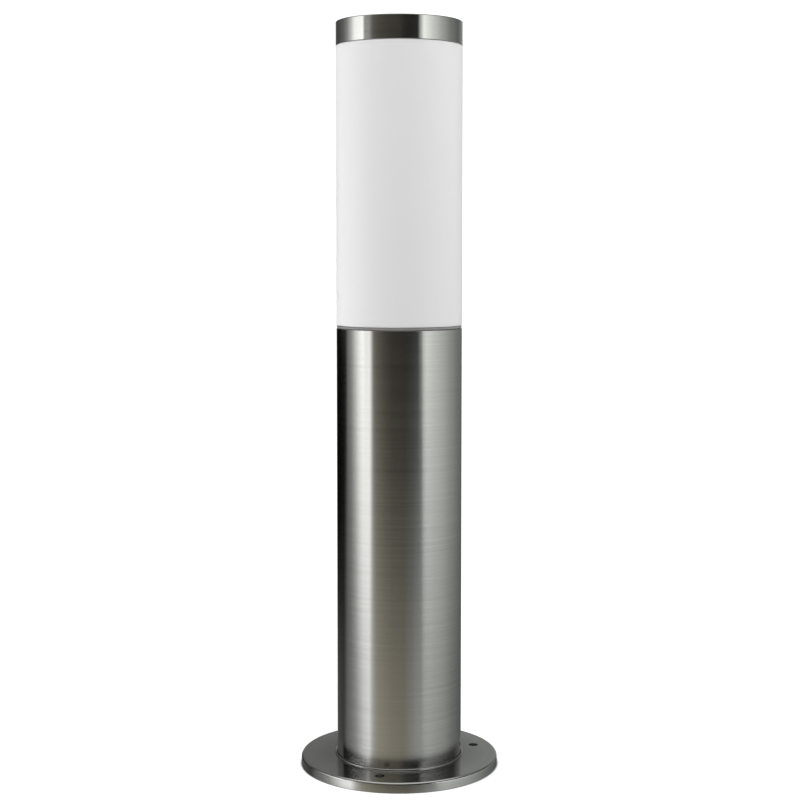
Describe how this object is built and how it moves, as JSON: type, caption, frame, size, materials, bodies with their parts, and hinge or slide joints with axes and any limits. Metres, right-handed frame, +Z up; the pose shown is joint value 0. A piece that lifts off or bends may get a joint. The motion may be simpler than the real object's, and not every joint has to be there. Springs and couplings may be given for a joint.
{
  "type": "bollard light",
  "caption": "Slim outdoor bollard light: brushed steel tube on a round drilled flange, opal cylindrical head plugged into its mouth, flat steel cap, screw-base lamp inside.",
  "frame": {"origin": "centre of the base, on the ground", "axes": "+Z up along the tube; -Y is the front, with one fixing hole 13.7 degrees to the left of it"},
  "size_m": [0.1206, 0.1206, 0.45],
  "materials": {
    "brushed_steel": "stainless steel with a fine circumferential brush",
    "galvanised_steel": "galvanised sheet, dull",
    "bright_zinc": "bright zinc plate",
    "brass": "bare brass",
    "tinned_copper": "tinned",
    "nickel_plate": "nickel plated",
    "opal_acrylic": "opal white, satin",
    "lamp_opal": "opal white, satin",
    "lamp_white": "moulded, satin",
    "board_white": "solder-masked board",
    "porcelain": "glazed porcelain",
    "grey_plastic": "moulded, satin",
    "polyamide": "moulded, satin",
    "rubber": "matt",
    "black_glass": "black insulating glass",
    "brown_insulation": "silicone insulation",
    "blue_insulation": "silicone insulation",
    "green_yellow_insulation": "silicone insulation, green and yellow"
  },
  "bodies": {
    "post": {"barrel_earth": "brass", "barrel_live": "brass", "barrel_neutral": "brass", "base_flange": "brushed_steel", "base_plate": "galvanised_steel", "block_screw": "bright_zinc", "bracket_screw_left": "bright_zinc", "bracket_screw_right": "bright_zinc", "bracket_tab_left": "galvanised_steel", "bracket_tab_right": "galvanised_steel", "cable_grommet": "rubber", "earth_nut": "bright_zinc", "earth_ring_terminal": "tinned_copper", "earth_screw": "bright_zinc", "earth_washer": "bright_zinc", "earth_wire": "green_yellow_insulation", "holder_centre_contact": "brass", "holder_screw_left": "bright_zinc", "holder_screw_right": "bright_zinc", "holder_thread_shell": "brass", "lampholder_body": "porcelain", "live_wire": "brown_insulation", "neutral_wire": "blue_insulation", "post_tube": "brushed_steel", "socket_bracket": "galvanised_steel", "terminal_block": "polyamide", "terminal_screw_1": "bright_zinc", "terminal_screw_2": "bright_zinc", "terminal_screw_3": "bright_zinc", "terminal_screw_4": "bright_zinc", "terminal_screw_5": "bright_zinc", "terminal_screw_6": "bright_zinc"},
    "collar": {"seat_ring": "grey_plastic"},
    "head": {"diffuser": "opal_acrylic", "top_cap": "brushed_steel", "cap_gasket": "rubber", "neck_o_ring_upper": "rubber", "neck_o_ring_lower": "rubber"},
    "lamp": {"lamp_body": "lamp_white", "lamp_contact": "nickel_plate", "lamp_globe": "lamp_opal", "lamp_insulator": "black_glass", "lamp_led_board": "board_white", "lamp_screw_cap": "nickel_plate"}
  },
  "joints": [
    {"name": "collar_turn", "type": "hinge", "parent": "post", "child": "collar", "pos_m": [0, 0, 0.2678], "axis": [0, 0, 1], "continuous": true},
    {"name": "head_lift", "type": "slide", "parent": "collar", "child": "head", "axis": [0, 0, 1], "range_m": [0, 0.16]},
    {"name": "lamp_out", "type": "slide", "parent": "post", "child": "lamp", "axis": [0, 0, 1], "range_m": [0, 0.03]}
  ]
}
